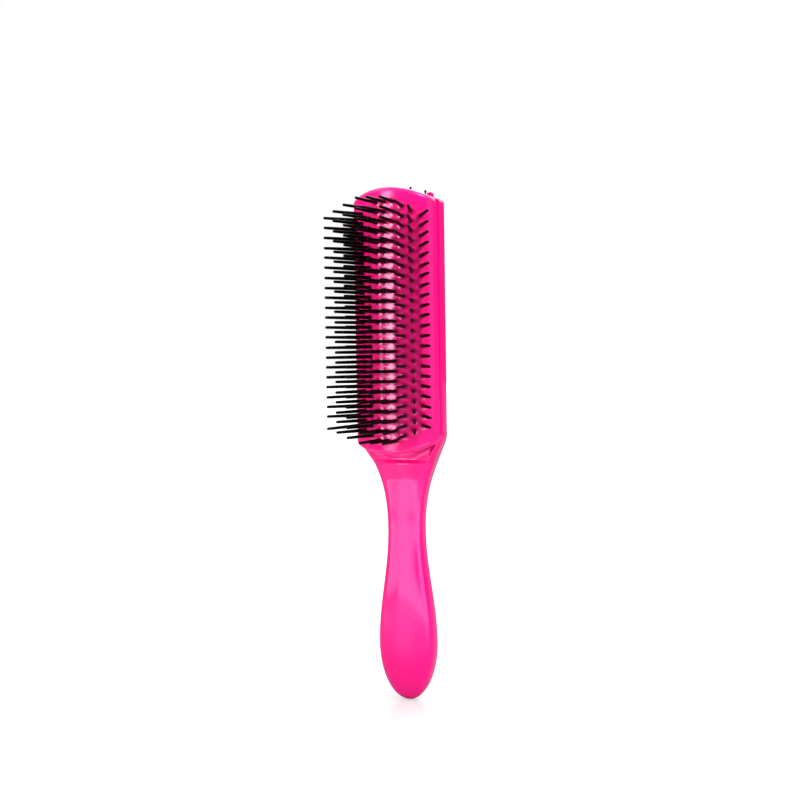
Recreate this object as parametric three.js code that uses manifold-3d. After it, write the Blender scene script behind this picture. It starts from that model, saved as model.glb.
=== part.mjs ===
// A half-round hair styling brush, standing on the end of its handle.
// Millimetres. +Z runs up the brush, the pad and its pins face -Y, and the origin is the
// middle of the handle's rounded end, on the handle's own axis.

import * as THREE from 'three';
import { mergeVertices } from 'three/addons/utils/BufferGeometryUtils.js';
import Module from 'manifold-3d';

const wasm = await Module();
wasm.setup();

// Gap between pieces that touch on the real brush
const CLEARANCE = 0.3;

// Handle, from its rounded end up to the neck
const END_LENGTH = 26;
const BULGE_HALF_WIDTH = 13.4;
const BULGE_HALF_DEPTH = 7.5;
const GRIP_TAPER_LENGTH = 52;
const NECK_HALF_WIDTH = 8.5;
const NECK_HALF_DEPTH = 5.8;
const GRIP_FRONT_POWER = 3;
const GRIP_BACK_POWER = 2.8;

// Shoulder, where the neck flares out to the head
const SHOULDER_LENGTH = 43;
const SHOULDER_NECK_REACH = 28.5;
const SHOULDER_HEAD_REACH = 6.4;
const SHOULDER_MIDDLE = 0.6;
const SHOULDER_FRONT_POWER = 2;
const SHOULDER_BACK_POWER = 3.1;
const RAMP_LENGTH = 28;
const RAMP_GAP = 1;
const SQUARING_LENGTH = 14;
const LEDGE_HALF_WIDTH = 12.5;
const LEDGE_DROP = 12.5;
const LEDGE_DEPTH = 1.2;

// Head: an open tray with a grooved rim
const RIM_DEPTH = 7.3;
const RIM_SHOW = 0.9;
const RIM_WALL = 1.8;
const LIP_THICKNESS = 1.2;
const GROOVE_HEIGHT = 2.2;
const GROOVE_DEPTH = 0.7;
const HEAD_BACK_DEPTH = 11.5;
const HEAD_WIDEST_DEPTH = 3.05;
const BACK_WALL = 3.2;
const HEAD_FRONT_POWER = 10;
const HEAD_BACK_POWER = 1.95;
const HEAD_CORNER_RADIUS = 1.5;
const TRAY_STEP = 0.5;

// Pins: rows that stand square on the pad's crown, the outer rows shorter.
// The crown turns more from row to row towards its sides.
const ROW_COUNT = 9;
const ROW_PITCH = 3.954;
const CROWN_TURN = 6.4 * Math.PI / 180;
const CROWN_TURN_GROWTH = 0.12 * Math.PI / 180;
const FULL_ROWS_BESIDE_MIDDLE = 1;
const MIDDLE_ROW_PINS = 25;
const PIN_PITCH = 4.3;
const PIN_LENGTH = 16.95;
const PIN_BASE_RADIUS = 0.75;
const PIN_TIP_RADIUS = 0.6;
const PIN_TIP_ROUNDING = 0.5;
const SPINE_WIDTH = 2.4;
const SPINE_THICKNESS = 1.6;
const SPINE_END = 2;

// Pad: an arched rubber skin, closed at both ends and open behind
const PAD_RISE = 12.35;
const PAD_SKIN = 2;
const PAD_BEND_RADIUS = 3;
const PAD_BEND_END = 60.5 * Math.PI / 180;
const PAD_SIDE_RADIUS = 18;
const PAD_END_MARGIN = 6.4;
const PAD_END_RADIUS = 40;
const PAD_CORNER_RADIUS = 4;
const PAD_END_WALL = 1.6;
const PAD_LAP = 8;
const FOOT_WALL = 1.7;
const TAB_HALF_WIDTH = 9;
const TAB_THICKNESS = 1.2;
const TAB_INSET = 0.5;

// Locking pins at the tip, and the two lugs that the pad's tab lies between
const LOCK_PIN_SPACING = 7.7;
const LOCK_PIN_RADIUS = 0.4;
const LOCK_PIN_HEAD_RADIUS = 0.65;
const LOCK_PIN_HEAD_HEIGHT = 0.8;
const MIDDLE_PIN_PROUD = 4;
const SIDE_PIN_PROUD = 2.5;
const LOCK_PIN_DEPTH = 9;
const LUG_WIDTH = 2.5;
const LUG_HEIGHT = 1.7;
const LUG_ROOT = 2;

// Facets
const RING_POINTS = 36;
const END_STEPS = 8;
const TAPER_STEPS = 8;
const SHOULDER_STEPS = 14;
const TIP_ARC_STEPS = 12;
const CORNER_STEPS = 4;
const CROWN_SUMS = 40;
const PAD_BEND_STEPS = 2;
const PAD_SIDE_STEPS = 3;
const TRAY_STEPS = 12;
const PIN_SIDES = 5;
const LOCK_PIN_SIDES = 8;
const CUT_MARGIN = 5;

// Heights and offsets that follow from the sizes above
const neckZ = END_LENGTH + GRIP_TAPER_LENGTH;
const headZ = neckZ + SHOULDER_LENGTH;
const padBottomZ = headZ - PAD_LAP;
const padLength = (MIDDLE_ROW_PINS - 1) * PIN_PITCH + 2 * PAD_END_MARGIN;
const padTopZ = padBottomZ + padLength;
const fieldZ = padBottomZ + padLength / 2;
const endArcZ = padTopZ - PAD_END_RADIUS;
const seatY = -RIM_DEPTH - CLEARANCE;
const padEdgeX = padSide(0).at(-1).x;
const headHalfWidth = padEdgeX + RIM_SHOW;
const lipX = headHalfWidth - RIM_WALL;
const grooveX = lipX + GROOVE_DEPTH;
const lipBackY = -RIM_DEPTH + LIP_THICKNESS;
const grooveBackY = lipBackY + GROOVE_HEIGHT;
const trayFloorY = HEAD_BACK_DEPTH - BACK_WALL;
const trayBottomZ = headZ + TRAY_STEP;
const spineDepth = PAD_SKIN + CLEARANCE + SPINE_THICKNESS / 2;
const pinHoleRadius = PIN_BASE_RADIUS + CLEARANCE;
const lockBoreRadius = LOCK_PIN_RADIUS + CLEARANCE;

// A closed geometry as a solid that can be joined and cut
function solid(geometry) {
  const bare = geometry.clone();
  bare.deleteAttribute('normal');
  bare.deleteAttribute('uv');
  const merged = mergeVertices(bare, 1e-4);
  const corners = merged.index.array;
  const triangles = [];
  for (let i = 0; i < corners.length; i += 3) {
    const [a, b, c] = corners.slice(i, i + 3);
    if (a !== b && b !== c && c !== a) triangles.push(a, b, c);
  }
  return new wasm.Manifold(new wasm.Mesh({
    numProp: 3,
    vertProperties: Float32Array.from(merged.attributes.position.array),
    triVerts: Uint32Array.from(triangles),
  }));
}

// A solid back as a geometry for a mesh
function geometryOf(body) {
  const { vertProperties, triVerts } = body.getMesh();
  const geometry = new THREE.BufferGeometry();
  geometry.setAttribute('position', new THREE.BufferAttribute(Float32Array.from(vertProperties), 3));
  geometry.setIndex(new THREE.BufferAttribute(Uint32Array.from(triVerts), 1));
  geometry.computeVertexNormals();
  return geometry;
}

// A section drawn in X and Y, drawn out from one height to another
function alongZ(shape, bottomZ, topZ) {
  const geometry = new THREE.ExtrudeGeometry(shape, { depth: topZ - bottomZ, bevelEnabled: false });
  return solid(geometry.translate(0, 0, bottomZ));
}

// An outline drawn in X and Z, as seen from the front, drawn out from front to back
function alongY(shape, frontY, backY) {
  const geometry = new THREE.ExtrudeGeometry(shape, { depth: backY - frontY, bevelEnabled: false });
  return solid(geometry.rotateX(Math.PI / 2).translate(0, backY, 0));
}

// Points along a round stretch between two turns, both ends included
function arcPoints(centreX, centreY, radius, from, to, steps) {
  return Array.from({ length: steps + 1 }, (_, i) => {
    const turn = THREE.MathUtils.lerp(from, to, i / steps);
    return new THREE.Vector2(centreX + radius * Math.cos(turn), centreY + radius * Math.sin(turn));
  });
}

function signedPower(value, power) {
  return Math.sign(value) * Math.abs(value) ** power;
}

// Height of the brush's arched tip at a distance from the middle
function tipZ(x) {
  return endArcZ + Math.sqrt(PAD_END_RADIUS ** 2 - x ** 2);
}

// A place on the pad's crown, a number of rows from its middle, and the turn that it faces
function crownPlace(rows) {
  const turnAt = (away) => CROWN_TURN * away + CROWN_TURN_GROWTH * away ** 3;
  const step = rows / CROWN_SUMS;
  let x = 0;
  let y = seatY - PAD_RISE;
  for (let i = 0; i < CROWN_SUMS; i += 1) {
    const turn = turnAt((i + 0.5) * step);
    x += ROW_PITCH * step * Math.cos(turn);
    y += ROW_PITCH * step * Math.sin(turn);
  }
  return { x, y, turn: turnAt(rows) };
}

// The right side of the pad's section, from the crown's edge to the rim.
// inset is 0 on the outer face and the skin's thickness on the inner one.
function padSide(inset) {
  const square = Math.PI / 2;
  const edge = crownPlace(ROW_COUNT / 2);
  const bendX = edge.x - PAD_BEND_RADIUS * Math.sin(edge.turn);
  const bendY = edge.y + PAD_BEND_RADIUS * Math.cos(edge.turn);
  const reach = PAD_SIDE_RADIUS - PAD_BEND_RADIUS;
  const sideX = bendX - reach * Math.sin(PAD_BEND_END);
  const sideY = bendY + reach * Math.cos(PAD_BEND_END);
  const bendRadius = PAD_BEND_RADIUS - inset;
  const sideRadius = PAD_SIDE_RADIUS - inset;
  const foot = Math.acos((sideY - seatY) / sideRadius);
  const bend = arcPoints(bendX, bendY, bendRadius, edge.turn - square, PAD_BEND_END - square, PAD_BEND_STEPS);
  const side = arcPoints(sideX, sideY, sideRadius, PAD_BEND_END - square, foot - square, PAD_SIDE_STEPS);
  return [...bend, ...side.slice(1)];
}

// The pad's arch in section, with one flat of the crown to each row of pins
function archSection(inset, backY) {
  const side = padSide(inset);
  const right = [...side, new THREE.Vector2(side.at(-1).x, backY)];
  const crown = [];
  for (let row = 1; row < ROW_COUNT; row += 1) {
    const { x, y, turn } = crownPlace(row - ROW_COUNT / 2);
    crown.push(new THREE.Vector2(x - inset * Math.sin(turn), y + inset * Math.cos(turn)));
  }
  const left = right.map(({ x, y }) => new THREE.Vector2(-x, y)).reverse();
  return new THREE.Shape([...left, ...crown, ...right]);
}

// The arched upper end of an outline, with rounded corners, from its right side to its left
function archedEnd(halfWidth, corner, endRadius, arcZ) {
  const cornerX = halfWidth - corner;
  const cornerZ = arcZ + Math.sqrt((endRadius - corner) ** 2 - cornerX ** 2);
  const lean = Math.atan2(cornerZ - arcZ, cornerX);
  const right = arcPoints(cornerX, cornerZ, corner, 0, lean, CORNER_STEPS);
  const left = right.map(({ x, y }) => new THREE.Vector2(-x, y)).reverse();
  const middle = arcPoints(0, arcZ, endRadius, lean, Math.PI - lean, TIP_ARC_STEPS);
  return [...right, ...middle.slice(1, -1), ...left];
}

// The pad seen from the front, with the same arched end above and below
function padOutline(inset) {
  const upper = archedEnd(padEdgeX - inset, PAD_CORNER_RADIUS - inset, PAD_END_RADIUS - inset, endArcZ);
  const lower = upper.map(({ x, y }) => new THREE.Vector2(-x, 2 * fieldZ - y));
  return new THREE.Shape([...upper, ...lower]);
}

// What lies above the arched tip, sunk by a depth, between two sides and a flat top
function aboveTip(halfWidth, sink, topZ) {
  const radius = PAD_END_RADIUS - sink;
  const lean = Math.acos(halfWidth / radius);
  return new THREE.Shape([
    new THREE.Vector2(halfWidth, topZ),
    new THREE.Vector2(-halfWidth, topZ),
    ...arcPoints(0, endArcZ, radius, Math.PI - lean, lean, TIP_ARC_STEPS),
  ]);
}

// Cross-sections of the handle and head, each with its height, half-width and depths.
// middle is where a section is widest from front to back.
function handleStations() {
  const stations = [];
  const grip = { middle: 0, frontPower: GRIP_FRONT_POWER, backPower: GRIP_BACK_POWER };
  for (let i = 1; i <= END_STEPS; i += 1) {
    const turn = i / END_STEPS * Math.PI / 2;
    const depth = BULGE_HALF_DEPTH * Math.sin(turn);
    const z = END_LENGTH * (1 - Math.cos(turn));
    stations.push({ ...grip, z, halfWidth: BULGE_HALF_WIDTH * Math.sin(turn), front: depth, back: depth });
  }
  for (let i = 1; i <= TAPER_STEPS; i += 1) {
    const along = i / TAPER_STEPS;
    const ease = (1 - Math.cos(Math.PI * along)) / 2;
    const halfWidth = THREE.MathUtils.lerp(BULGE_HALF_WIDTH, NECK_HALF_WIDTH, ease);
    const depth = THREE.MathUtils.lerp(BULGE_HALF_DEPTH, NECK_HALF_DEPTH, ease);
    const z = END_LENGTH + GRIP_TAPER_LENGTH * along;
    stations.push({ ...grip, z, halfWidth, front: depth, back: depth });
  }
  const flare = new THREE.CubicBezierCurve(
    new THREE.Vector2(neckZ, NECK_HALF_WIDTH),
    new THREE.Vector2(neckZ + SHOULDER_NECK_REACH, NECK_HALF_WIDTH),
    new THREE.Vector2(headZ - SHOULDER_HEAD_REACH, headHalfWidth),
    new THREE.Vector2(headZ, headHalfWidth),
  );
  const middleZ = neckZ + SHOULDER_MIDDLE * SHOULDER_LENGTH;
  const rampTopZ = padBottomZ - RAMP_GAP;
  const { lerp, smoothstep } = THREE.MathUtils;
  for (let i = 1; i <= SHOULDER_STEPS; i += 1) {
    const { x: z, y: halfWidth } = flare.getPoint(i / SHOULDER_STEPS);
    const fullness = smoothstep(z, neckZ, headZ);
    const rounding = smoothstep(z, neckZ, middleZ);
    const shoulderFront = lerp(GRIP_FRONT_POWER, SHOULDER_FRONT_POWER, rounding);
    const shoulderBack = lerp(GRIP_BACK_POWER, SHOULDER_BACK_POWER, rounding);
    stations.push({
      z,
      halfWidth,
      middle: -HEAD_WIDEST_DEPTH * fullness,
      front: lerp(NECK_HALF_DEPTH, RIM_DEPTH, smoothstep(z, rampTopZ - RAMP_LENGTH, rampTopZ)),
      back: lerp(NECK_HALF_DEPTH, HEAD_BACK_DEPTH, fullness),
      frontPower: lerp(shoulderFront, HEAD_FRONT_POWER, smoothstep(z, headZ - SQUARING_LENGTH, headZ)),
      backPower: lerp(shoulderBack, HEAD_BACK_POWER, smoothstep(z, middleZ, headZ)),
    });
  }
  stations.push({ ...stations.at(-1), z: padTopZ + CUT_MARGIN });
  return stations;
}

// One cross-section as a ring of points, flatter and squarer in front than behind
function sectionRing(station) {
  const points = [];
  for (let i = 0; i < RING_POINTS; i += 1) {
    const turn = (i + 0.5) / RING_POINTS * 2 * Math.PI;
    const behind = Math.sin(turn) > 0;
    const power = 2 / (behind ? station.backPower : station.frontPower);
    const depth = behind ? station.back - station.middle : station.front + station.middle;
    const x = station.halfWidth * signedPower(Math.cos(turn), power);
    points.push(x, station.middle + depth * signedPower(Math.sin(turn), power), station.z);
  }
  return points;
}

// The handle and head as one solid bar, skinned over its cross-sections
function handleBar() {
  const stations = handleStations();
  const positions = [0, 0, 0, ...stations.flatMap(sectionRing), 0, 0, stations.at(-1).z];
  const top = positions.length / 3 - 1;
  const corner = (ringIndex, i) => 1 + ringIndex * RING_POINTS + i % RING_POINTS;
  const last = stations.length - 1;
  const triangles = [];
  for (let i = 0; i < RING_POINTS; i += 1) {
    triangles.push(0, corner(0, i + 1), corner(0, i));
    for (let r = 0; r < last; r += 1) {
      triangles.push(corner(r, i), corner(r, i + 1), corner(r + 1, i + 1));
      triangles.push(corner(r, i), corner(r + 1, i + 1), corner(r + 1, i));
    }
    triangles.push(top, corner(last, i), corner(last, i + 1));
  }
  const geometry = new THREE.BufferGeometry();
  geometry.setAttribute('position', new THREE.Float32BufferAttribute(positions, 3));
  geometry.setIndex(triangles);
  return solid(geometry);
}

// The handle seen from the front: straight below, arched at the tip
function handleOutline() {
  const wide = Math.max(headHalfWidth, BULGE_HALF_WIDTH) + CUT_MARGIN;
  return new THREE.Shape([
    ...archedEnd(headHalfWidth, HEAD_CORNER_RADIUS, PAD_END_RADIUS, endArcZ),
    new THREE.Vector2(-headHalfWidth, headZ),
    new THREE.Vector2(-wide, neckZ),
    new THREE.Vector2(-wide, -CUT_MARGIN),
    new THREE.Vector2(wide, -CUT_MARGIN),
    new THREE.Vector2(wide, neckZ),
    new THREE.Vector2(headHalfWidth, headZ),
  ]);
}

// Hollow of the tray in section, with a groove under each lip for the pad's foot.
// inset is 0 on the tray's own walls and a gap for what slides into it.
function traySection(inset) {
  const backY = grooveBackY - inset;
  const right = [
    new THREE.Vector2(lipX - inset, -RIM_DEPTH - CUT_MARGIN),
    new THREE.Vector2(lipX - inset, lipBackY + inset),
    new THREE.Vector2(grooveX - inset, lipBackY + inset),
    new THREE.Vector2(grooveX - inset, backY),
  ];
  const left = right.map(({ x, y }) => new THREE.Vector2(-x, y)).reverse();
  const bowl = arcPoints(0, 0, 1, 0, Math.PI, TRAY_STEPS);
  const bowlDepth = trayFloorY - grooveBackY;
  const floor = bowl.map(({ x, y }) => new THREE.Vector2((lipX - inset) * x, backY + bowlDepth * y));
  return new THREE.Shape([...right, ...floor, ...left]);
}

// The head's cross-section, drawn in from its outside
function headSection(inset) {
  const head = handleStations().at(-1);
  const drawnIn = { halfWidth: head.halfWidth - inset, front: head.front - inset, back: head.back - inset };
  const ring = new THREE.Float32BufferAttribute(sectionRing({ ...head, ...drawnIn }), 3);
  const corners = Array.from({ length: ring.count }, (_, i) => new THREE.Vector2(ring.getX(i), ring.getY(i)));
  return new THREE.Shape(corners);
}

// Middle of the tray's back wall, at a distance from the head's own middle
function wallMiddleY(x) {
  const across = Math.abs(x) / headHalfWidth;
  const roundness = (1 - across ** HEAD_BACK_POWER) ** (1 / HEAD_BACK_POWER);
  const outsideY = THREE.MathUtils.lerp(-HEAD_WIDEST_DEPTH, HEAD_BACK_DEPTH, roundness);
  const insideY = THREE.MathUtils.lerp(grooveBackY, trayFloorY, Math.sqrt(1 - (x / lipX) ** 2));
  return (outsideY + insideY) / 2;
}

function lockPinPlaces() {
  return [-1, 0, 1].map((place) => place * LOCK_PIN_SPACING);
}

// An upright bore for a locking pin, open at the tip
function lockBore(x, bottomZ) {
  const topZ = padTopZ + CUT_MARGIN;
  const geometry = new THREE.CylinderGeometry(lockBoreRadius, lockBoreRadius, topZ - bottomZ, LOCK_PIN_SIDES);
  return solid(geometry.rotateX(Math.PI / 2).translate(x, wallMiddleY(x), (bottomZ + topZ) / 2));
}

// A lug on each side of the pad's tab, where the tray's wall stands up past the tip
function lugs() {
  const lugX = TAB_HALF_WIDTH + CLEARANCE + LUG_WIDTH / 2;
  const topZ = tipZ(lugX) + LUG_HEIGHT;
  const wall = alongZ(headSection(0), topZ - LUG_HEIGHT - LUG_ROOT, topZ);
  const blocks = [-1, 1].map((side) => {
    const block = new THREE.BoxGeometry(LUG_WIDTH, 2 * (HEAD_BACK_DEPTH + CUT_MARGIN), padTopZ);
    return solid(block.translate(side * lugX, 0, topZ - padTopZ / 2));
  });
  return wall.intersect(wasm.Manifold.union(blocks));
}

// A shallow recess in the shoulder's front, from the tray down to a ledge below the pad's end
function ledgeRecess(frontY) {
  const topZ = trayBottomZ + TRAY_STEP;
  const ledgeZ = trayBottomZ - LEDGE_DROP;
  const outline = new THREE.Shape([
    new THREE.Vector2(lipX, topZ),
    new THREE.Vector2(-lipX, topZ),
    new THREE.Vector2(-LEDGE_HALF_WIDTH, ledgeZ),
    new THREE.Vector2(LEDGE_HALF_WIDTH, ledgeZ),
  ]);
  return alongY(outline, frontY, -RIM_DEPTH + LEDGE_DEPTH);
}

// One-piece moulded handle with its head tray
function makeHandle() {
  const frontY = -RIM_DEPTH - CUT_MARGIN;
  const backY = HEAD_BACK_DEPTH + CUT_MARGIN;
  const notch = aboveTip(TAB_HALF_WIDTH + CLEARANCE, TAB_THICKNESS + CLEARANCE, padTopZ + CUT_MARGIN);
  let body = handleBar().intersect(alongY(handleOutline(), frontY, backY)).add(lugs());
  body = body.subtract(alongZ(traySection(0), trayBottomZ, padTopZ + CUT_MARGIN));
  body = body.subtract(ledgeRecess(frontY));
  body = body.subtract(alongY(notch, frontY, backY));
  for (const x of lockPinPlaces()) {
    body = body.subtract(lockBore(x, tipZ(x) - LOCK_PIN_DEPTH - CLEARANCE));
  }
  return geometryOf(body);
}

function rowPlace(row) {
  return crownPlace(row - (ROW_COUNT - 1) / 2);
}

// A pin hole through the pad, along a row's own direction
function pinHole(place, z) {
  const length = 2 * PAD_SKIN + CUT_MARGIN;
  const geometry = new THREE.CylinderGeometry(pinHoleRadius, pinHoleRadius, length, PIN_SIDES);
  return solid(geometry.rotateZ(place.turn).translate(place.x, place.y, z));
}

// Heights of a row's pins about the middle of the field; rows near the sides have fewer
function pinHeights(row) {
  const fromMiddle = Math.abs(row - (ROW_COUNT - 1) / 2);
  const count = MIDDLE_ROW_PINS - Math.max(0, Math.floor(fromMiddle) - FULL_ROWS_BESIDE_MIDDLE);
  return Array.from({ length: count }, (_, i) => (i - (count - 1) / 2) * PIN_PITCH);
}

// The pad's arched skin, closed at both ends and open behind
function padArch() {
  const frontY = seatY - PAD_RISE - CUT_MARGIN;
  const outside = alongZ(archSection(0, seatY), padBottomZ, padTopZ);
  const inside = alongZ(archSection(PAD_SKIN, seatY + CUT_MARGIN), padBottomZ, padTopZ);
  const outer = outside.intersect(alongY(padOutline(0), frontY, seatY + CUT_MARGIN));
  const hollow = inside.intersect(alongY(padOutline(PAD_END_WALL), frontY, seatY + 2 * CUT_MARGIN));
  return outer.subtract(hollow);
}

// What the pad has inside the tray: a beaded foot along each side and a plate across the mouth
function padInTray() {
  const frontY = seatY - PAD_SKIN;
  const topZ = tipZ(padEdgeX) - PAD_CORNER_RADIUS;
  const footHalfGap = lipX - CLEARANCE - FOOT_WALL;
  const beadBackY = grooveBackY - CLEARANCE;
  const section = traySection(CLEARANCE);
  const gap = new THREE.BoxGeometry(2 * footHalfGap, 2 * HEAD_BACK_DEPTH, padLength + CUT_MARGIN);
  const bowl = new THREE.BoxGeometry(2 * headHalfWidth, HEAD_BACK_DEPTH, padLength + CUT_MARGIN);
  const front = new THREE.BoxGeometry(2 * headHalfWidth, CUT_MARGIN, padLength + CUT_MARGIN);
  const feet = alongZ(section, trayBottomZ + CLEARANCE, topZ)
    .subtract(solid(gap.translate(0, 0, fieldZ)))
    .subtract(solid(bowl.translate(0, beadBackY + HEAD_BACK_DEPTH / 2, fieldZ)))
    .subtract(solid(front.translate(0, frontY - CUT_MARGIN / 2, fieldZ)));
  const mouth = alongZ(section, fieldZ, padTopZ).intersect(tipPlate(headHalfWidth, frontY, HEAD_BACK_DEPTH));
  return feet.add(mouth);
}

// A plate of even thickness under the arched tip
function tipPlate(halfWidth, frontY, backY) {
  const above = alongY(aboveTip(halfWidth, TAB_THICKNESS, padTopZ + CUT_MARGIN), frontY, backY);
  const waste = aboveTip(halfWidth + CUT_MARGIN, 0, padTopZ + 2 * CUT_MARGIN);
  return above.subtract(alongY(waste, frontY - CUT_MARGIN, backY + CUT_MARGIN));
}

// Rubber pad: arched skin, feet that slide in the tray's grooves, and a tab pinned over the tip
function makePad() {
  const tab = tipPlate(TAB_HALF_WIDTH, 0, HEAD_BACK_DEPTH)
    .intersect(alongZ(headSection(TAB_INSET), fieldZ, padTopZ));
  let body = padArch().add(padInTray()).add(tab);
  for (const x of lockPinPlaces()) {
    body = body.subtract(lockBore(x, padTopZ - CUT_MARGIN));
  }
  const holes = [];
  for (let row = 0; row < ROW_COUNT; row += 1) {
    for (const height of pinHeights(row)) holes.push(pinHole(rowPlace(row), fieldZ + height));
  }
  return geometryOf(body.subtract(wasm.Manifold.union(holes)));
}

// One pin pointing along -Y out of the pad's face at Y = 0: a round tapered rod with a domed tip
function pin(height) {
  const profile = [
    new THREE.Vector2(0, -spineDepth),
    new THREE.Vector2(PIN_BASE_RADIUS, -spineDepth),
    new THREE.Vector2(PIN_TIP_RADIUS, PIN_LENGTH - PIN_TIP_ROUNDING),
    new THREE.Vector2(0, PIN_LENGTH),
  ];
  const geometry = new THREE.LatheGeometry(profile, PIN_SIDES);
  return solid(geometry.rotateZ(Math.PI).translate(0, 0, height));
}

// A moulded strip: a straight spine behind the pad, with one row of pins on it
function makePinStrip(row) {
  const heights = pinHeights(row);
  const length = heights.at(-1) - heights[0] + 2 * SPINE_END;
  const spine = new THREE.BoxGeometry(SPINE_WIDTH, SPINE_THICKNESS, length);
  return geometryOf(wasm.Manifold.union([solid(spine.translate(0, spineDepth, 0)), ...heights.map(pin)]));
}

// A locking pin with a small flat head
function makeLockingPin(proud) {
  const shankTop = proud - LOCK_PIN_HEAD_HEIGHT;
  const profile = [
    new THREE.Vector2(0, -LOCK_PIN_DEPTH),
    new THREE.Vector2(LOCK_PIN_RADIUS, -LOCK_PIN_DEPTH),
    new THREE.Vector2(LOCK_PIN_RADIUS, shankTop),
    new THREE.Vector2(LOCK_PIN_HEAD_RADIUS, shankTop),
    new THREE.Vector2(LOCK_PIN_HEAD_RADIUS, proud),
    new THREE.Vector2(0, proud),
  ];
  return geometryOf(solid(new THREE.LatheGeometry(profile, LOCK_PIN_SIDES).rotateX(Math.PI / 2)));
}

function piece(name, geometry, finish) {
  const mesh = new THREE.Mesh(geometry, new THREE.MeshStandardMaterial(finish));
  mesh.name = name;
  return mesh;
}

const pinkPlastic = { color: '#fa1e87', roughness: 0.22, metalness: 0 };
const pinkRubber = { color: '#fb1480', roughness: 0.45, metalness: 0 };
const blackNylon = { color: '#0d0c0e', roughness: 0.4, metalness: 0 };
const darkSteel = { color: '#3a3a3e', roughness: 0.35, metalness: 1 };

const brush = new THREE.Group();
brush.add(piece('handle', makeHandle(), pinkPlastic));

const padAssembly = new THREE.Group();
padAssembly.add(piece('rubber_pad', makePad(), pinkRubber));
const pinField = new THREE.Group();
pinField.position.z = fieldZ;
for (let row = 0; row < ROW_COUNT; row += 1) {
  const strip = piece(`pin_strip_${row + 1}`, makePinStrip(row), blackNylon);
  const { x, y, turn } = rowPlace(row);
  strip.position.set(x, y, 0);
  strip.rotation.z = turn;
  pinField.add(strip);
}
padAssembly.add(pinField);
brush.add(padAssembly);

lockPinPlaces().forEach((x, i) => {
  const proud = x === 0 ? MIDDLE_PIN_PROUD : SIDE_PIN_PROUD;
  const lockingPin = piece(`locking_pin_${i + 1}`, makeLockingPin(proud), darkSteel);
  lockingPin.position.set(x, wallMiddleY(x), tipZ(x));
  brush.add(lockingPin);
});

export default brush;
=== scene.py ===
"""A half-round hair styling brush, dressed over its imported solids.

Everything is modelled in millimetres in the part's own frame and ends in metres: +Z runs up the brush
from the handle's rounded end, and the pad and its pins face -Y.
"""

import logging
import math
import random
from collections.abc import Callable, Iterator, Sequence
from contextlib import contextmanager
from dataclasses import dataclass, field
from enum import Enum

import bmesh
import bpy
import numpy as np
from mathutils import Matrix, Vector


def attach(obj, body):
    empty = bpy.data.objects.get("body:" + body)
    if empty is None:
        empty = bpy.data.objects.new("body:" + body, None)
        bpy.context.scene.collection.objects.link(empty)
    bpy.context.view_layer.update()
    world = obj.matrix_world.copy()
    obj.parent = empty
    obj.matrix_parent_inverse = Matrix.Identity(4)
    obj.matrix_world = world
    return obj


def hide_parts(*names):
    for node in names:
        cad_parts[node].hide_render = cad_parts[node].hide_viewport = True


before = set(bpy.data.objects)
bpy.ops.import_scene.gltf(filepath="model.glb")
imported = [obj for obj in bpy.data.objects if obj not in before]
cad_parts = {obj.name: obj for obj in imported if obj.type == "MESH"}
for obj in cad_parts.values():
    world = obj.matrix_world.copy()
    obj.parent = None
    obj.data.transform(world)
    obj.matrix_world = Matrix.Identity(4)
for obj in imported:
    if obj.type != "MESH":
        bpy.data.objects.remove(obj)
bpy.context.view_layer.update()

log = logging.getLogger("brush")

MM = 0.001
# Name of the vertex attribute that carries the rubber's painted shade around each pin
PIN_SHADE_ATTRIBUTE = "pin_shade"
WHITE = "#ffffff"

# Places closer than this are the same, in mm
SAME_PLACE = 1e-4
# A cut can leave pinholes open that have no more sides than this
PINHOLE_SIDES = 4
# Edges sharper than this are bevelled, in degrees
BEVEL_ANGLE = 40.0
# Faces whose normal rises more than this face up
FACES_UP = 0.9

# Sockets of a Mix node that mixes colours
MIX_FIRST = 6
MIX_SECOND = 7
MIX_RESULT = 2

Corner = tuple[float, float]
Settings = dict[str | int, object]
Links = dict[str | int, bpy.types.NodeSocket]
NewMaterial = tuple[bpy.types.Material, bpy.types.NodeTree, bpy.types.Node, bpy.types.NodeSocket]


class Cut(Enum):
    """What a boolean modifier leaves of a solid."""

    REMOVE = "DIFFERENCE"
    KEEP = "INTERSECT"


class Picked(Enum):
    """What is selected at the start of an edit."""

    ALL = "SELECT"
    NONE = "DESELECT"


class Outline(Enum):
    """How an outline lies before it is drawn out into a solid."""

    FRONT = "in X and Z, drawn out along Y"
    SECTION = "in X and Y, drawn out along Z"


class Body(Enum):
    """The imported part's bodies that pieces ride on."""

    HANDLE = "handle_body"
    PAD = "pad_body"


class Slot(Enum):
    """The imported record's material slots."""

    HANDLE = "handle_plastic"
    PAD = "pad_rubber"
    PINS = "pin_nylon"
    LOCKING_PINS = "locking_pin_steel"


# Small tools for meshes and nodes


def srgb(code: str) -> tuple[float, float, float, float]:
    """Turns an sRGB hex colour into linear light.

    Args:
        code: six hex digits after a hash.

    Returns:
        Linear red, green and blue, with an alpha of 1.
    """
    shares = [int(code[i : i + 2], 16) / 255 for i in (1, 3, 5)]
    linear = [s / 12.92 if s <= 0.04045 else ((s + 0.055) / 1.055) ** 2.4 for s in shares]
    return (*linear, 1.0)


def wire(tree: bpy.types.NodeTree, node: bpy.types.Node, settings: Settings, links: Links) -> None:
    """Gives a node its settings and links.

    Args:
        tree: the node tree that the node is in.
        node: the node.
        settings: values by input socket, named or numbered, or by property name.
        links: output sockets by the input, named or numbered, that each one feeds.
    """
    for key, value in settings.items():
        if isinstance(key, int) or key in node.inputs:
            node.inputs[key].default_value = value
        else:
            setattr(node, key, value)
    for key, socket in links.items():
        tree.links.new(socket, node.inputs[key])


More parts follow.
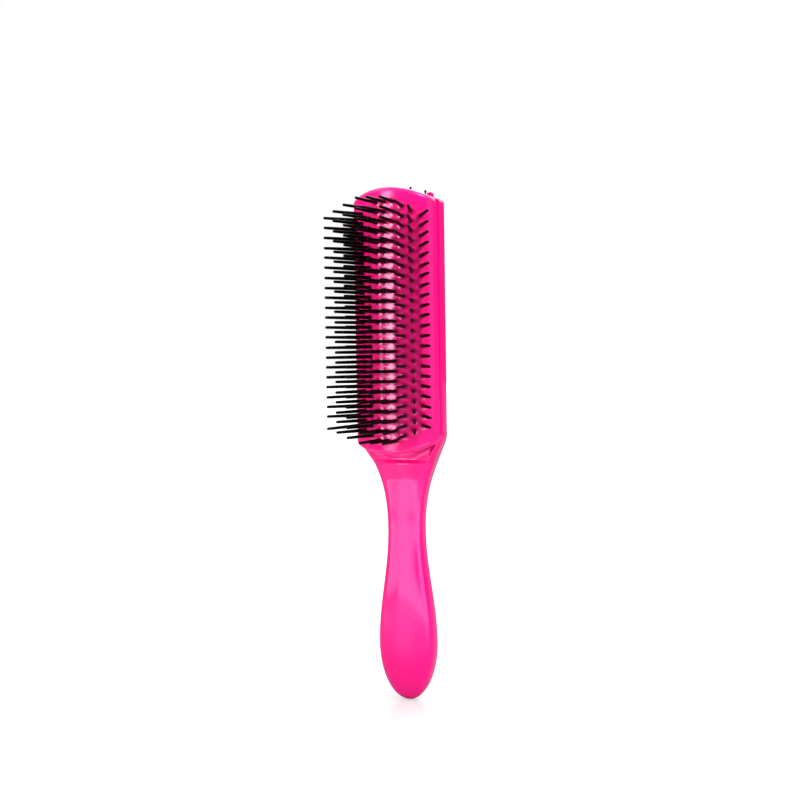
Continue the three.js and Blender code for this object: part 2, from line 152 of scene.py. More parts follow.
def add_node(tree: bpy.types.NodeTree, kind: str, settings: Settings, links: Links) -> bpy.types.Node:
    """Adds one node with its settings and links.

    Args:
        tree: the node tree that the node joins.
        kind: the node's type name.
        settings: values by input socket, named or numbered, or by property name.
        links: output sockets by the input, named or numbered, that each one feeds.

    Returns:
        The new node.
    """
    node = tree.nodes.new(kind)
    wire(tree, node, settings, links)
    return node


def new_material(name: str) -> NewMaterial:
    """Starts a material on Object coordinates.

    Args:
        name: what the real material is.

    Returns:
        The material, its node tree, its shader and the socket that gives Object coordinates.
    """
    material = bpy.data.materials.new(name)
    material.use_nodes = True
    tree = material.node_tree
    place = add_node(tree, "ShaderNodeTexCoord", {}, {}).outputs["Object"]
    return material, tree, tree.nodes["Principled BSDF"], place


def pattern_scale(size: float) -> float:
    """Scale of a pattern whose features have a size in mm."""
    return 1 / (size * MM)


def deselect_all() -> None:
    """Leaves nothing selected, so that the next operator acts on its own object alone."""
    bpy.ops.object.select_all(action="DESELECT")


def pick(obj: bpy.types.Object) -> bpy.types.Object:
    """Selects one object alone and makes it active.

    Args:
        obj: the object to work on.

    Returns:
        The same object.
    """
    deselect_all()
    obj.select_set(True)
    bpy.context.view_layer.objects.active = obj
    return obj


def apply_modifier(obj: bpy.types.Object, kind: str, settings: dict[str, object]) -> None:
    """Adds a modifier to an object and applies it.

    Args:
        obj: the object to change.
        kind: the modifier's type name.
        settings: the modifier's properties.
    """
    pick(obj)
    modifier = obj.modifiers.new(kind.lower(), kind)
    for name, value in settings.items():
        setattr(modifier, name, value)
    bpy.ops.object.modifier_apply(modifier=modifier.name)


def combine(obj: bpy.types.Object, tool: bpy.types.Object, cut: Cut) -> None:
    """Cuts or trims one solid with another, takes the tool away and closes what the cut leaves open.

    Args:
        obj: the solid that stays.
        tool: the solid that is used up.
        cut: what is done with the tool.
    """
    apply_modifier(obj, "BOOLEAN", {"object": tool, "operation": cut.value, "solver": "EXACT"})
    bpy.data.objects.remove(tool)
    with edit_mode(Picked.ALL):
        bpy.ops.mesh.remove_doubles(threshold=SAME_PLACE)
        bpy.ops.mesh.fill_holes(sides=PINHOLE_SIDES)
        bpy.ops.mesh.select_all(action="SELECT")
        bpy.ops.mesh.normals_make_consistent(inside=False)


def join(objects: Sequence[bpy.types.Object]) -> bpy.types.Object:
    """Joins several objects into the first one.

    Args:
        objects: the objects, the one that stays first.

    Returns:
        The first object.
    """
    pick(objects[0])
    for obj in objects[1:]:
        obj.select_set(True)
    bpy.ops.object.join()
    return objects[0]


def apply_place(obj: bpy.types.Object) -> None:
    """Puts an object's place, turn and scale into its mesh."""
    pick(obj)
    bpy.ops.object.transform_apply(location=True, rotation=True, scale=True)


def add_primitive(operator: Callable, **sizes: object) -> bpy.types.Object:
    """Adds a primitive, selected alone, with its place and scale in its mesh.

    Args:
        operator: the operator that adds it.
        sizes: what the operator is told.

    Returns:
        The new object.
    """
    deselect_all()
    operator(**sizes)
    obj = bpy.context.active_object
    apply_place(obj)
    return obj


@contextmanager
def edit_mode(picked: Picked) -> Iterator[None]:
    """Edits the active object's mesh.

    Args:
        picked: what is selected first.

    Yields:
        Nothing, while the mesh is in edit mode.
    """
    bpy.ops.object.mode_set(mode="EDIT")
    bpy.ops.mesh.select_all(action=picked.value)
    yield
    bpy.ops.object.mode_set(mode="OBJECT")


def vertex_places(obj: bpy.types.Object) -> np.ndarray:
    """Reads where an object's vertices are.

    Args:
        obj: the object.

    Returns:
        X, Y and Z, one line for each vertex.
    """
    flat = np.zeros(len(obj.data.vertices) * 3)
    obj.data.vertices.foreach_get("co", flat)
    return flat.reshape(-1, 3)


def smooth(obj: bpy.types.Object, degrees: float) -> None:
    """Shades an object smooth, apart from edges sharper than an angle."""
    pick(obj)
    bpy.ops.object.shade_smooth_by_angle(angle=math.radians(degrees))


def close_mesh(obj: bpy.types.Object, gap: float) -> None:
    """Merges the seams and poles of a wrapped grid and turns its faces outwards.

    Args:
        obj: the object to close.
        gap: the distance within which vertices are merged, in mm.
    """
    pick(obj)
    with edit_mode(Picked.ALL):
        bpy.ops.mesh.remove_doubles(threshold=gap)
        bpy.ops.mesh.normals_make_consistent(inside=False)


def wrapped_grid(places: np.ndarray) -> bpy.types.Object:
    """Adds a grid and moves its vertices to the places given.

    Args:
        places: rows of columns of points, in mm.

    Returns:
        The new object, with open edges.
    """
    rows, columns = places.shape[:2]
    steps = {"x_subdivisions": columns - 1, "y_subdivisions": rows - 1}
    obj = add_primitive(bpy.ops.mesh.primitive_grid_add, **steps, size=1)
    share = vertex_places(obj)[:, :2] + 0.5
    column = np.rint(share[:, 0] * (columns - 1)).astype(int)
    row = np.rint(share[:, 1] * (rows - 1)).astype(int)
    obj.data.vertices.foreach_set("co", places[row, column].ravel())
    obj.data.update()
    return obj


def prism(corners: Sequence[Corner], outline: Outline, low: float, high: float) -> bpy.types.Object:
    """Draws an outline out into a solid.

    Args:
        corners: the outline's corners in order, in mm.
        outline: how the outline lies.
        low: where the solid starts along the way that it is drawn out, in mm.
        high: where the solid ends.

    Returns:
        The new object.
    """
    obj = add_primitive(bpy.ops.mesh.primitive_circle_add, vertices=len(corners), radius=1, fill_type="NGON")
    from_front = outline is Outline.FRONT
    for vertex, (across, along) in zip(obj.data.vertices, corners, strict=True):
        vertex.co = (across, low, along) if from_front else (across, along, low)
    reach = (0, high - low, 0) if from_front else (0, 0, high - low)
    with edit_mode(Picked.ALL):
        bpy.ops.mesh.extrude_region_move(TRANSFORM_OT_translate={"value": reach})
        bpy.ops.mesh.select_all(action="SELECT")
        bpy.ops.mesh.normals_make_consistent(inside=False)
    return obj


def bevel_edges(obj: bpy.types.Object, width: float, segments: int) -> None:
    """Rounds every sharp edge of a plain solid, over a width in mm."""
    limit = {"limit_method": "ANGLE", "angle_limit": math.radians(BEVEL_ANGLE)}
    apply_modifier(obj, "BEVEL", {"width": width, "segments": segments, **limit})


def arc(centre: Corner, radius: float, start: float, end: float, steps: int) -> list[Corner]:
    """Points along a round stretch from one turn to another, in radians, both ends included."""
    turns = np.linspace(start, end, steps + 1)
    return [(centre[0] + radius * math.cos(t), centre[1] + radius * math.sin(t)) for t in turns]


def mirrored(points: Sequence[Corner]) -> list[Corner]:
    """The points of a right half on the left side, in the order that carries an outline on."""
    return [(-x, y) for x, y in reversed(points)]


def ease(value: np.ndarray, start: float, end: float) -> np.ndarray:
    """A smooth step from 0 at the start to 1 at the end."""
    share = np.clip((value - start) / (end - start), 0, 1)
    return share * share * (3 - 2 * share)


# Finishes


@dataclass(frozen=True)
class MouldedAbs:
    """Hot-pink ABS, injection-moulded in a polished tool.

    To the eye it is one deep even colour under a clear gloss, with slow waves in the reflections where the
    moulding cooled and faint flow in the colour.
    """

    colour: str = "#fb1185"
    flow_colour: str = "#f40c7a"
    flow_mm: float = 38.0
    flow_detail: float = 2.0
    wave_mm: float = 17.0
    wave_detail: float = 1.0
    wave_depth_mm: float = 0.012
    wave_strength: float = 0.6
    roughness: float = 0.1
    ior: float = 1.53
    specular_tint: str = "#ffb4f4"

    def make(self) -> bpy.types.Material:
        """Builds the material.

        Returns:
            A material on Object coordinates.
        """
        material, tree, shader, place = new_material("hot_pink_abs")
        pattern = {"Scale": pattern_scale(self.flow_mm), "Detail": self.flow_detail}
        flow = add_node(tree, "ShaderNodeTexNoise", pattern, {"Vector": place})
        colours = {"data_type": "RGBA", MIX_FIRST: srgb(self.colour), MIX_SECOND: srgb(self.flow_colour)}
        tone = add_node(tree, "ShaderNodeMix", colours, {"Factor": flow.outputs["Fac"]})
        pattern = {"Scale": pattern_scale(self.wave_mm), "Detail": self.wave_detail}
        wave = add_node(tree, "ShaderNodeTexNoise", pattern, {"Vector": place})
        relief = {"Strength": self.wave_strength, "Distance": self.wave_depth_mm * MM}
        bump = add_node(tree, "ShaderNodeBump", relief, {"Height": wave.outputs["Fac"]})
        gloss = {"Roughness": self.roughness, "IOR": self.ior, "Specular Tint": srgb(self.specular_tint)}
        wire(tree, shader, gloss, {"Base Color": tone.outputs[MIX_RESULT], "Normal": bump.outputs["Normal"]})
        return material


@dataclass(frozen=True)
class MouldedRubber:
    """Hot-pink natural rubber, compression-moulded in a satin tool.

    To the eye it is a saturated colour with a soft broad sheen and a fine skin texture. Around each pin,
    where the rubber is drawn up, it carries painted shade: a deeper red that stands in for the pins' shadows.
    """

    colour: str = "#fb0e7f"
    # Painted shade: a deep red that stands in for the pins' shadows, and how much of it lies against a pin
    pin_shade_colour: str = "#b00034"
    seat_and_shade_share: float = 0.75
    skin_mm: float = 0.55
    skin_detail: float = 2.0
    skin_depth_mm: float = 0.02
    skin_strength: float = 0.25
    roughness_low: float = 0.15
    roughness_high: float = 0.2
    patch_mm: float = 9.0
    patch_detail: float = 3.0
    ior: float = 1.52
    specular_tint: str = "#ffd2f4"

    def make(self) -> bpy.types.Material:
        """Builds the material.

        Returns:
            A material on Object coordinates and on the pad's own attribute for painted shade around the pins.
        """
        material, tree, shader, place = new_material("hot_pink_rubber")
        # Painted shade around each pin: the colour runs towards a deep red by the stored nearness to a pin
        shade_mask = add_node(tree, "ShaderNodeAttribute", {"attribute_name": PIN_SHADE_ATTRIBUTE}, {})
        shade_strength = {"operation": "MULTIPLY", 1: self.seat_and_shade_share}
        share = add_node(tree, "ShaderNodeMath", shade_strength, {0: shade_mask.outputs["Fac"]})
        colours = {"data_type": "RGBA", MIX_FIRST: srgb(self.colour), MIX_SECOND: srgb(self.pin_shade_colour)}
        tone = add_node(tree, "ShaderNodeMix", colours, {"Factor": share.outputs["Value"]})
        pattern = {"Scale": pattern_scale(self.patch_mm), "Detail": self.patch_detail}
        patches = add_node(tree, "ShaderNodeTexNoise", pattern, {"Vector": place})
        levels = {"To Min": self.roughness_low, "To Max": self.roughness_high}
        gloss = add_node(tree, "ShaderNodeMapRange", levels, {"Value": patches.outputs["Fac"]})
        # Real skin texture is finer than this. It is drawn as coarse as the render needs to show it.
        pattern = {"Scale": pattern_scale(self.skin_mm), "Detail": self.skin_detail}
        skin = add_node(tree, "ShaderNodeTexNoise", pattern, {"Vector": place})
        relief = {"Strength": self.skin_strength, "Distance": self.skin_depth_mm * MM}
        bump = add_node(tree, "ShaderNodeBump", relief, {"Height": skin.outputs["Fac"]})
        surface = {"Roughness": gloss.outputs["Result"], "Normal": bump.outputs["Normal"]}
        surface["Base Color"] = tone.outputs[MIX_RESULT]
        wire(tree, shader, {"IOR": self.ior, "Specular Tint": srgb(self.specular_tint)}, surface)
        return material


@dataclass(frozen=True)
class MouldedNylon:
    """Black nylon, injection-moulded with a satin skin.

    To the eye it is near black with a narrow soft highlight along each pin and a small light spot on its tip.
    """

    colour: str = "#050405"
    grain_colour: str = "#0b090a"
    grain_mm: float = 1.6
    grain_detail: float = 2.0
    roughness: float = 0.3
    ior: float = 1.53
    specular_level: float = 0.06

    def make(self) -> bpy.types.Material:
        """Builds the material.

        Returns:
            A material on Object coordinates.
        """
        material, tree, shader, place = new_material("black_nylon")
        pattern = {"Scale": pattern_scale(self.grain_mm), "Detail": self.grain_detail}
        grain = add_node(tree, "ShaderNodeTexNoise", pattern, {"Vector": place})
        colours = {"data_type": "RGBA", MIX_FIRST: srgb(self.colour), MIX_SECOND: srgb(self.grain_colour)}
        tone = add_node(tree, "ShaderNodeMix", colours, {"Factor": grain.outputs["Fac"]})
        gloss = {"Roughness": self.roughness, "IOR": self.ior, "Specular IOR Level": self.specular_level}
        wire(tree, shader, gloss, {"Base Color": tone.outputs[MIX_RESULT]})
        return material


@dataclass(frozen=True)
class DrawnSteel:
    """Plain steel wire, drawn and cut, with a dull grey shine and fine lines along its length."""

    colour: str = "#2c2c30"
    line_mm: float = 0.08
    line_detail: float = 2.0
    stretch: float = 0.05
    roughness_low: float = 0.25
    roughness_high: float = 0.5

    def make(self) -> bpy.types.Material:
        """Builds the material.

        Returns:
            A material on Object coordinates.
        """
        material, tree, shader, place = new_material("drawn_steel")
        along = add_node(tree, "ShaderNodeMapping", {"Scale": (1, 1, self.stretch)}, {"Vector": place})
        pattern = {"Scale": pattern_scale(self.line_mm), "Detail": self.line_detail}
        lines = add_node(tree, "ShaderNodeTexNoise", pattern, {"Vector": along.outputs["Vector"]})
        levels = {"To Min": self.roughness_low, "To Max": self.roughness_high}
        gloss = add_node(tree, "ShaderNodeMapRange", levels, {"Value": lines.outputs["Fac"]})
        bare = {"Base Color": srgb(self.colour), "Metallic": 1.0}
        wire(tree, shader, bare, {"Roughness": gloss.outputs["Result"]})
        return material


def finish_piece(
    obj: bpy.types.Object,
    name: str,
    material: bpy.types.Material,
    body: str,
    nodes: Sequence[str],
) -> None:
    """Brings a finished piece to metres, dresses it and puts it on its body.

    Args:
        obj: the modelled piece, in mm.
        name: the piece's name.
        material: its finish.
        body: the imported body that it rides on.
        nodes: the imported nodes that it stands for.
    """
    obj.scale = (MM, MM, MM)
    apply_place(obj)
    obj.name = name
    obj.data.name = name
    obj.data.materials.clear()
    obj.data.materials.append(material)
    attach(obj, body)
    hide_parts(*nodes)
    log.info("%s: %d faces", name, len(obj.data.polygons))


# Shapes that the pieces share


@dataclass(frozen=True)
class PadShape:
    """The pad's arch, its outline from the front and its rows of pins, in mm."""

    row_count: int = 9
    row_pitch: float = 3.954
    crown_turn: float = math.radians(6.4)
    crown_turn_growth: float = math.radians(0.12)
    full_rows_beside_middle: int = 1
    middle_row_pins: int = 25
    pin_pitch: float = 4.3
    rise: float = 12.35
    skin: float = 2.0
    bend_radius: float = 3.0
    bend_end: float = math.radians(60.5)
    side_radius: float = 18.0
    end_radius: float = 40.0
    corner_radius: float = 4.0
    seat_y: float = -7.6
    bottom_z: float = 113.0
    top_z: float = 229.0
    sum_steps: int = 40

    @property
    def field_z(self) -> float:
        """Height of the middle of the pad."""
        return (self.bottom_z + self.top_z) / 2

    @property
    def end_arc_z(self) -> float:
        """Height of the centre of the arched tip."""
        return self.top_z - self.end_radius

    def crown(self, rows: np.ndarray) -> np.ndarray:
        """Places on the crown, which turns more from row to row towards its sides.

        Args:
            rows: distances from the crown's middle, counted in rows of pins.

        Returns:
            X, Y and the turn that the crown faces, one line for each place.
        """
        within = rows[:, None] * (np.arange(self.sum_steps) + 0.5) / self.sum_steps
        turns = self.crown_turn * within + self.crown_turn_growth * within**3
        reach = rows * self.row_pitch
        x = reach * np.cos(turns).mean(axis=1)
        y = self.seat_y - self.rise + reach * np.sin(turns).mean(axis=1)
        return np.column_stack([x, y, self.crown_turn * rows + self.crown_turn_growth * rows**3])

    def half_section(self, crown_steps: int, bend_steps: int, side_steps: int) -> np.ndarray:
        """Points of the right half of the arch, from the crown's middle to the foot.

        Args:
            crown_steps: steps over the crown.
            bend_steps: steps around the bend beside the crown.
            side_steps: steps down the side.

        Returns:
            X, Y and the turn that the arch faces, one line for each point.
        """
        crown = self.crown(np.linspace(0, self.row_count / 2, crown_steps + 1))
        edge_x, edge_y, edge_turn = crown[-1]
        bend_x = edge_x - self.bend_radius * math.sin(edge_turn)
        bend_y = edge_y + self.bend_radius * math.cos(edge_turn)
        reach = self.side_radius - self.bend_radius
        side_x = bend_x - reach * math.sin(self.bend_end)
        side_y = bend_y + reach * math.cos(self.bend_end)
        foot_turn = math.acos((side_y - self.seat_y) / self.side_radius)
        bends = np.linspace(edge_turn, self.bend_end, bend_steps + 1)[1:]
        sides = np.linspace(self.bend_end, foot_turn, side_steps + 1)[1:]
        bend = [bend_x + self.bend_radius * np.sin(bends), bend_y - self.bend_radius * np.cos(bends), bends]
        side = [side_x + self.side_radius * np.sin(sides), side_y - self.side_radius * np.cos(sides), sides]
        return np.concatenate([crown, np.column_stack(bend), np.column_stack(side)])

    @property
    def edge_x(self) -> float:
        """Half-width of the pad where it meets the rim."""
        return float(self.half_section(1, 1, 1)[-1, 0])

    def end_height(self, x: np.ndarray, half_width: float, corner: float) -> np.ndarray:
        """Height of an arched end with rounded corners.

        Args:
            x: distances from the middle.
            half_width: half of the outline's width.
            corner: the radius of its corners.

        Returns:
            The heights of the upper end.
        """
        across = np.minimum(np.abs(x), half_width)
        corner_x = half_width - corner
        corner_z = self.end_arc_z + math.sqrt((self.end_radius - corner) ** 2 - corner_x**2)
        lean_x = corner_x * self.end_radius / (self.end_radius - corner)
        arched = self.end_arc_z + np.sqrt(self.end_radius**2 - across**2)
        rounded = corner_z + np.sqrt(np.maximum(corner**2 - (across - corner_x) ** 2, 0))
        return np.where(across < lean_x, arched, rounded)

    def tip_z(self, x: float) -> float:
        """Height of the arched tip at a distance from the middle."""
        return self.end_arc_z + math.sqrt(self.end_radius**2 - x**2)

    def row_place(self, row: int) -> np.ndarray:
        """X, Y and the turn of a row of pins on the crown."""
        return self.crown(np.array([row - (self.row_count - 1) / 2]))[0]

    def pin_count(self, row: int) -> int:
        """How many pins a row has."""
        from_middle = abs(row - (self.row_count - 1) // 2)
        return self.middle_row_pins - max(0, from_middle - self.full_rows_beside_middle)

    def tip_strip(self, half_width: float, sink: float, thickness: float, steps: int) -> list[Corner]:
        """Outline, from the front, of a strip of even thickness under the arched tip.

        Args:
            half_width: half of the strip's width.
            sink: how far the strip lies under the tip.
            thickness: the strip's thickness.
            steps: steps along each of its arcs.

        Returns:
            Corners in X and Z.
        """
        centre = (0.0, self.end_arc_z)
        upper = self.end_radius - sink
        lower = upper - thickness
        lean_up = math.acos(half_width / upper)
        lean_low = math.acos(half_width / lower)
        over = arc(centre, upper, lean_up, math.pi - lean_up, steps)
        under = arc(centre, lower, math.pi - lean_low, lean_low, steps)
        return over + under


@dataclass(frozen=True)
class TrayShape:
    """The hollow of the head with its lipped and grooved rim, in mm."""

    pad: PadShape
    rim_depth: float = 7.3
    rim_show: float = 0.9
    rim_wall: float = 1.8
    lip_thickness: float = 1.2
    groove_height: float = 2.2
    groove_depth: float = 0.7
    back_depth: float = 11.443
    widest_depth: float = 3.05
    back_power: float = 1.95
    back_wall: float = 3.2
    bottom_z: float = 121.5
    clearance: float = 0.3
    lock_pin_spacing: float = 7.7
    lock_pin_depth: float = 9.0
    lock_bore_radius: float = 0.65
    bore_sides: int = 16
    tab_half_width: float = 9.0
    tab_thickness: float = 1.2
    floor_steps: int = 32

    @property
    def head_half_width(self) -> float:
        """Half of the head's width."""
        return self.pad.edge_x + self.rim_show

    @property
    def lip_x(self) -> float:
        """Distance of the lips from the middle."""
        return self.head_half_width - self.rim_wall

    @property
    def groove_back_y(self) -> float:
        """Depth of the back of the grooves."""
        return -self.rim_depth + self.lip_thickness + self.groove_height

    @property
    def floor_y(self) -> float:
        """Depth of the hollow's floor in the middle."""
        return self.back_depth - self.back_wall

    def back_y(self, x: np.ndarray, inset: float) -> np.ndarray:
        """Depth of the head's rounded back.

        Args:
            x: distances from the middle.
            inset: how far the face lies inside the head's own back.

        Returns:
            The depths.
        """
        across = np.clip(np.abs(x) / (self.head_half_width - inset), 0, 1)
        roundness = (1 - across**self.back_power) ** (1 / self.back_power)
        return roundness * (self.back_depth - inset + self.widest_depth) - self.widest_depth

    def lock_pin_place(self, place: int) -> tuple[float, float, float]:
        """Where a locking pin meets the tip, in the middle of the back wall.

        Args:
            place: -1 on the left, 0 in the middle and 1 on the right.

        Returns:
            X, Y and Z.
        """
        x = place * self.lock_pin_spacing
        bowl = self.floor_y - self.groove_back_y
        inside = self.groove_back_y + bowl * math.sqrt(1 - (x / self.lip_x) ** 2)
        y = (float(self.back_y(np.array(x), 0)) + inside) / 2
        return x, y, self.pad.tip_z(x)

    def bore_for_pins(self, obj: bpy.types.Object) -> None:
        """Cuts the locking pins' bores into a piece.

        Args:
            obj: the piece, in mm.
        """
        for place in (-1, 0, 1):
            bore = add_primitive(
                bpy.ops.mesh.primitive_cylinder_add,
                vertices=self.bore_sides,
                radius=self.lock_bore_radius,
                depth=2 * self.lock_pin_depth,
                location=self.lock_pin_place(place),
            )
            combine(obj, bore, Cut.REMOVE)

    def section(self, inset: float, front_y: float) -> list[Corner]:
        """The hollow in section.

        Args:
            inset: 0 on the tray's own walls, or a gap for what slides into it.
            front_y: where the section ends in front.

        Returns:
            Corners in X and Y.
        """
        lip = self.lip_x - inset
        groove = self.lip_x + self.groove_depth - inset
        lip_back = -self.rim_depth + self.lip_thickness + inset
        back = self.groove_back_y - inset
        right = [(lip, front_y), (lip, lip_back), (groove, lip_back), (groove, back)]
        bowl = self.floor_y - self.groove_back_y
        turns = np.linspace(0, math.pi, self.floor_steps + 1)
        floor = [(lip * math.cos(t), back + bowl * math.sin(t)) for t in turns]
        return right + floor + mirrored(right)


# Sub-assemblies


@dataclass
class HandleMoulding:
    """One-piece handle: rounded end, tapered grip, neck, shoulder and head tray. Sizes are in mm."""

    tray: TrayShape
    finish: MouldedAbs
    end_length: float = 26.0
    bulge_half_width: float = 13.4
    bulge_half_depth: float = 7.5
    taper_length: float = 52.0
    neck_half_width: float = 8.5
    neck_half_depth: float = 5.8
    grip_front_power: float = 3.0
    grip_back_power: float = 2.8
    shoulder_length: float = 43.0
    shoulder_neck_reach: float = 28.5
    shoulder_head_reach: float = 6.4
    shoulder_middle: float = 0.6
    shoulder_front_power: float = 2.0
    shoulder_back_power: float = 3.1
    ramp_length: float = 28.0
    ramp_gap: float = 1.0
    rise_low: float = 100.0
    rise_high: float = 110.0
    rise_share: float = 0.5
    squaring_length: float = 14.0
    head_front_power: float = 10.0
    ledge_half_width: float = 12.5
    ledge_drop: float = 12.5
    ledge_depth: float = 1.2
    ledge_rounding: float = 2.2
    corner_radius: float = 1.5
    lug_width: float = 2.5
    lug_height: float = 1.7
    lug_rounding: float = 0.4
    margin: float = 5.0
    thinnest: float = 1e-6
    smooth_angle: float = 32.0
    end_steps: int = 28
    grip_steps: int = 36
    neck_steps: int = 40
    ledge_steps: int = 14
    shoulder_steps: int = 20
    head_steps: int = 24
    ring_steps: int = 160
    ring_samples: int = 4001
    flare_samples: int = 400
    corner_steps: int = 8
    side_steps: int = 10
    lug_steps: int = 4
    tip_steps: int = 40
    notch_steps: int = 32

    @property
    def neck_z(self) -> float:
        """Height of the neck."""
        return self.end_length + self.taper_length

    @property
    def head_z(self) -> float:
        """Height where the head reaches its full width."""
        return self.neck_z + self.shoulder_length

    def heights(self) -> np.ndarray:
        """Sets the heights of the cross-sections.

        Returns:
            The heights, closer together where the shape turns faster.
        """
        end = self.end_length * (1 - np.cos(np.linspace(0, math.pi / 2, self.end_steps + 1)))
        ledge_z = self.tray.bottom_z - self.ledge_drop
        grip = np.linspace(self.end_length, self.neck_z, self.grip_steps + 1)[1:]
        neck = np.linspace(self.neck_z, ledge_z - self.ledge_rounding, self.neck_steps + 1)[1:]
        ledge = np.linspace(neck[-1], ledge_z + self.ledge_rounding, self.ledge_steps + 1)[1:]
        shoulder = np.linspace(ledge[-1], self.head_z, self.shoulder_steps + 1)[1:]
        head = np.linspace(self.head_z, self.tray.pad.top_z + self.margin, self.head_steps + 1)[1:]
        return np.concatenate([end, grip, neck, ledge, shoulder, head])

    def taper(self, z: np.ndarray) -> np.ndarray:
        """Share of the way from the bulge to the neck at each height."""
        return (1 - np.cos(np.pi * np.clip((z - self.end_length) / self.taper_length, 0, 1))) / 2

    def half_widths(self, z: np.ndarray) -> np.ndarray:
        """Half-width of the handle at each height.

        Args:
            z: the heights.

        Returns:
            The half-widths.
        """
        head = self.tray.head_half_width
        neck = self.neck_half_width
        t = np.linspace(0, 1, self.flare_samples)
        shares = np.array([(1 - t) ** 3, 3 * t * (1 - t) ** 2, 3 * t * t * (1 - t), t**3])
        near = self.neck_z + self.shoulder_neck_reach
        far = self.head_z - self.shoulder_head_reach
        flare_z = np.array([self.neck_z, near, far, self.head_z]) @ shares
        flare_x = np.array([neck, neck, head, head]) @ shares
        grip = self.bulge_half_width + (neck - self.bulge_half_width) * self.taper(z)
        return np.where(z < self.neck_z, grip * self.end_round(z), np.interp(z, flare_z, flare_x))

    def end_round(self, z: np.ndarray) -> np.ndarray:
        """Share of the full size that the rounded end has at each height."""
        return np.sqrt(1 - (1 - np.clip(z / self.end_length, 0, 1)) ** 2)

    def depths(self, z: np.ndarray) -> tuple[np.ndarray, np.ndarray]:
        """Front and back depth of the handle at each height.

        Args:
            z: the heights.

        Returns:
            The front depths and the back depths.
        """
        grip = self.bulge_half_depth + (self.neck_half_depth - self.bulge_half_depth) * self.taper(z)
        grip = grip * self.end_round(z)
        ramp_top = self.tray.pad.bottom_z - self.ramp_gap
        ramp = (1 - self.rise_share) * ease(z, ramp_top - self.ramp_length, ramp_top)
        ramp += self.rise_share * ease(z, self.rise_low, self.rise_high)
        front = grip + (self.tray.rim_depth - self.neck_half_depth) * ramp
        back = grip + (self.tray.back_depth - self.neck_half_depth) * ease(z, self.neck_z, self.head_z)
        return front, back

    def powers(self, z: np.ndarray) -> tuple[np.ndarray, np.ndarray]:
        """How square the front and the back are at each height; 2 is an ellipse.

        Args:
            z: the heights.

        Returns:
            The front powers and the back powers.
        """
        middle_z = self.neck_z + self.shoulder_middle * self.shoulder_length
        rounding = ease(z, self.neck_z, middle_z)
        front = self.grip_front_power + (self.shoulder_front_power - self.grip_front_power) * rounding
        front += (self.head_front_power - front) * ease(z, self.head_z - self.squaring_length, self.head_z)
        back = self.grip_back_power + (self.shoulder_back_power - self.grip_back_power) * rounding
        back += (self.tray.back_power - back) * ease(z, middle_z, self.head_z)
        return front, back

    def half_ring(self, half_width: float, depth: float, power: float) -> np.ndarray:
        """Half of a cross-section, with its points closer together around its corners.

        Args:
            half_width: half of the section's width.
            depth: how deep this half is.
            power: how square it is; 2 is an ellipse.

        Returns:
            Points in X and Y from the right side to the left, with Y positive.
        """
        turn = np.linspace(0, np.pi, self.ring_samples)
        x = half_width * np.sign(np.cos(turn)) * np.abs(np.cos(turn)) ** (2 / power)
        y = depth * np.abs(np.sin(turn)) ** (2 / power)
        step = np.hypot(np.diff(x), np.diff(y))
        heading = np.unwrap(np.arctan2(np.diff(y), np.diff(x)))
        bend = np.concatenate([[0], np.abs(np.diff(heading))])
        place = np.concatenate([[0], np.cumsum(step / step.sum() + bend / bend.sum())])
        wanted = np.linspace(0, place[-1], self.ring_steps // 2 + 1)
        return np.stack([np.interp(wanted, place, x), np.interp(wanted, place, y)], 1)

    def ledge_share(self, x: np.ndarray, z: float) -> np.ndarray:
        """How far the shoulder's front is sunk between the tray and the ledge below the pad's end.

        Args:
            x: distances from the middle.
            z: the height.

        Returns:
            Shares from 0 outside the recess to 1 on its floor.
        """
        above = z - self.tray.bottom_z + self.ledge_drop
        widening = (self.tray.lip_x - self.ledge_half_width) / self.ledge_drop
        inside = self.ledge_half_width + widening * min(above, self.ledge_drop) - np.abs(x)
        half = self.ledge_rounding / 2
        return ease(np.minimum(inside, above), -half, half)

    def bar(self) -> bpy.types.Object:
        """Skins the cross-sections into one solid bar, longer than the head.

        Returns:
            The bar.
        """
        z = self.heights()
        widths = self.half_widths(z)
        fronts, backs = self.depths(z)
        front_powers, back_powers = self.powers(z)
        middles = -self.tray.widest_depth * ease(z, self.neck_z, self.head_z)
        rings = []
        for i, height in enumerate(z):
            width = max(widths[i], self.thinnest)
            behind = self.half_ring(width, max(backs[i] - middles[i], self.thinnest), back_powers[i])
            ahead = self.half_ring(width, max(fronts[i] + middles[i], self.thinnest), front_powers[i])
            ahead[:, 1] -= self.ledge_depth * self.ledge_share(ahead[:, 0], height)
            loop = np.concatenate([behind, (ahead * (1, -1))[::-1][1:]]) + (0, middles[i])
            rings.append(np.column_stack([loop, np.full(len(loop), height)]))
        top = rings[-1].copy()
        top[:, :2] = 0
        obj = wrapped_grid(np.array([*rings, top]))
        close_mesh(obj, SAME_PLACE)
        return obj

